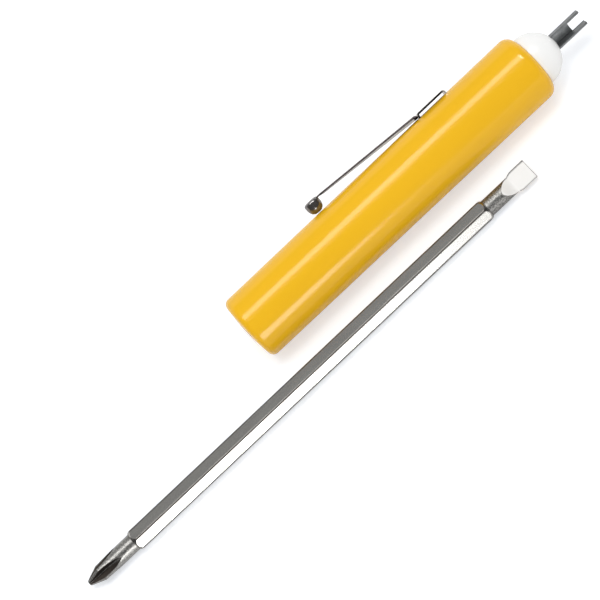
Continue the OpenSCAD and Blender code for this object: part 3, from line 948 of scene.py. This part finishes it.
def add_world(scene, s):
    """White to the camera, an even fill for light, and for mirrors a room that changes with the angle.

    From the front horizon over the top to the back, the room is bright, dark, dim and bright again.
    """
    look = Look(bpy.data.worlds.new("studio"))
    scene.world = look.owner
    camera = look.node("ShaderNodeLightPath", output="Is Camera Ray")
    mirror = camera.also("Is Glossy Ray")
    direction = look.node("ShaderNodeTexCoord", output="Generated")
    height = look.node("ShaderNodeSeparateXYZ", None, {0: direction}, "Z")
    angle = height.work_out("ARCTAN2", height, 0 - height.also("Y")) * (180 / math.pi)
    low_front, front, top, back = 1.36, 0.07, 0.22, 1.05
    room = low_front + (front - low_front) * angle.between(4, 10)
    room = room + (top - front) * angle.between(80, 105) + (back - top) * angle.between(143, 155)
    strength = camera + (1 - camera) * (mirror * room + (1 - mirror) * s.fill)
    look.plug(look.tree.nodes["Background"].inputs["Color"], (1, 1, 1))
    look.plug(look.tree.nodes["Background"].inputs["Strength"], strength)


def add_lamps(s):
    """Soft light from above, and for mirrors a strip overhead, a card at its end and a low one in front."""
    add_lamp("key", s.key, degrees=88, distance=1.0, x=0.0, size=(0.5, 0.35), card=False)
    add_lamp("overhead_card", s.overhead, degrees=96, distance=0.6, x=0.02, size=(0.6, 0.17))
    add_lamp("front_card", s.front, degrees=11, distance=0.8, x=-0.14, size=(0.38, 0.34), shape="ELLIPSE")
    add_lamp("end_card", s.end, degrees=95, distance=0.58, x=0.29, size=(0.12, 0.15), shape="ELLIPSE")


# Operators, one for each piece or group


class SCREWDRIVER_OT_stage(bpy.types.Operator):
    """Set up the camera, the table and the light"""

    bl_idname = "screwdriver.stage"
    bl_label = "Stage"

    def execute(self, context):
        s = context.scene.screwdriver.stage
        context.scene.view_settings.view_transform = "Standard"
        add_camera(context.scene, s)
        add_table(context.scene, s)
        add_world(context.scene, s)
        add_lamps(s)
        return {"FINISHED"}


class SCREWDRIVER_OT_handle(bpy.types.Operator):
    """Make the moulded handle, and finish the socket and the spring in its mouth"""

    bl_idname = "screwdriver.handle"
    bl_label = "Handle"

    def execute(self, context):
        s = context.scene.screwdriver.handle
        yellow = gloss_plastic("handle_yellow", s.yellow, roughness=0.12, wave=1.0)
        mesh = ring_mesh("handle_shell", barrel_grid(s))
        finish_piece("handle_shell", mesh, yellow, body="handle", node="handle_barrel")
        for node, material in (("blade_socket", socket_plastic(s)), ("retaining_spring", spring_steel(s))):
            for slot in frame["nodes"][node].material_slots:
                slot.material = material
        return {"FINISHED"}


class SCREWDRIVER_OT_plug(bpy.types.Operator):
    """Make the domed end plug"""

    bl_idname = "screwdriver.plug"
    bl_label = "End plug"

    def execute(self, context):
        s = context.scene.screwdriver.plug
        base = HANDLE_AXIS + ALONG * TOP_X
        tip = base + ALONG * (s.foot + s.dome_r)
        mesh = bar_mesh("plug_dome", plug_grid(s), base - ALONG * s.spigot, tip)
        white = gloss_plastic("plug_white", s.white, roughness=0.22, wave=0.6)
        finish_piece("plug_dome", mesh, white, body="handle", node="end_plug")
        return {"FINISHED"}


class SCREWDRIVER_OT_fork(bpy.types.Operator):
    """Make the folded valve fork"""

    bl_idname = "screwdriver.fork"
    bl_label = "Valve fork"

    def execute(self, context):
        s = context.scene.screwdriver.plug
        grid, cut, inside = fork_grid(s)
        mesh = sheet_mesh("fork_channel", grid, s.fork_t, {"inside": inside}, cut=cut, edge=0.06 * MM)
        finish_piece("fork_channel", mesh, fork_steel(s), body="handle", node="valve_fork")
        return {"FINISHED"}


class SCREWDRIVER_OT_clip(bpy.types.Operator):
    """Make the pocket clip: plate, springing arm and ball"""

    bl_idname = "screwdriver.clip"
    bl_label = "Pocket clip"

    def execute(self, context):
        s = context.scene.screwdriver.clip
        nickel = clip_nickel(s)
        grid, dark = plate_grid(s)
        plate = sheet_mesh("clip_plate_sheet", grid, s.sheet, {"dark": dark})
        finish_piece("clip_plate_sheet", plate, nickel, body="handle", node="clip_plate")
        grid, dark = arm_grid(s)
        arm = sheet_mesh("clip_arm_sheet", grid, s.arm_sheet, {"dark": dark}, offset=1.0)
        finish_piece("clip_arm_sheet", arm, nickel, body="clip", node="clip_arm")
        grid, base = ball_grid(s)
        # the whole ball is painted dark, a painted dark reflection
        marks = {"dark": np.full(grid.shape[:2], s.ball_dark)}
        ball = bar_mesh("clip_knob", grid, base + CLIP_OUT * BALL_LOW, base + CLIP_OUT * BALL_TOP, marks)
        finish_piece("clip_knob", ball, nickel, body="clip", node="clip_ball")
        return {"FINISHED"}


class SCREWDRIVER_OT_blade(bpy.types.Operator):
    """Make the reversible blade"""

    bl_idname = "screwdriver.blade"
    bl_label = "Blade"

    def execute(self, context):
        s = context.scene.screwdriver.blade
        grid, marks = blade_grid(s)
        mesh = bar_mesh("blade_bar", grid, BLADE_AXIS + ALONG * CROSS_X, BLADE_AXIS + ALONG * SLOT_X, marks)
        steel = blade_nickel(s)
        finish_piece("blade_bar", mesh, steel, body="blade", node="blade", sharp=24)
        return {"FINISHED"}


class SCREWDRIVER_PT_pieces(bpy.types.Panel):
    """Lists the pieces of the pocket screwdriver"""

    bl_idname = "SCREWDRIVER_PT_pieces"
    bl_label = "Pocket Screwdriver"
    bl_space_type = "VIEW_3D"
    bl_region_type = "UI"
    bl_category = "Screwdriver"

    def draw(self, context):
        for operator in OPERATORS:
            self.layout.operator(operator.bl_idname)


GROUPS = (HandleSettings, PlugSettings, ClipSettings, BladeSettings, StageSettings, ScrewdriverSettings)
OPERATORS = (
    SCREWDRIVER_OT_stage,
    SCREWDRIVER_OT_handle,
    SCREWDRIVER_OT_plug,
    SCREWDRIVER_OT_fork,
    SCREWDRIVER_OT_clip,
    SCREWDRIVER_OT_blade,
)


def register():
    for cls in GROUPS + OPERATORS + (SCREWDRIVER_PT_pieces,):
        bpy.utils.register_class(cls)
    bpy.types.Scene.screwdriver = bpy.props.PointerProperty(type=ScrewdriverSettings)


def unregister():
    del bpy.types.Scene.screwdriver
    for cls in reversed(GROUPS + OPERATORS + (SCREWDRIVER_PT_pieces,)):
        bpy.utils.unregister_class(cls)


def main():
    """Registers the classes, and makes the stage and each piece."""
    register()
    bpy.ops.screwdriver.stage()
    bpy.ops.screwdriver.handle()
    bpy.ops.screwdriver.plug()
    bpy.ops.screwdriver.fork()
    bpy.ops.screwdriver.clip()
    bpy.ops.screwdriver.blade()


if __name__ == "__main__":
    main()
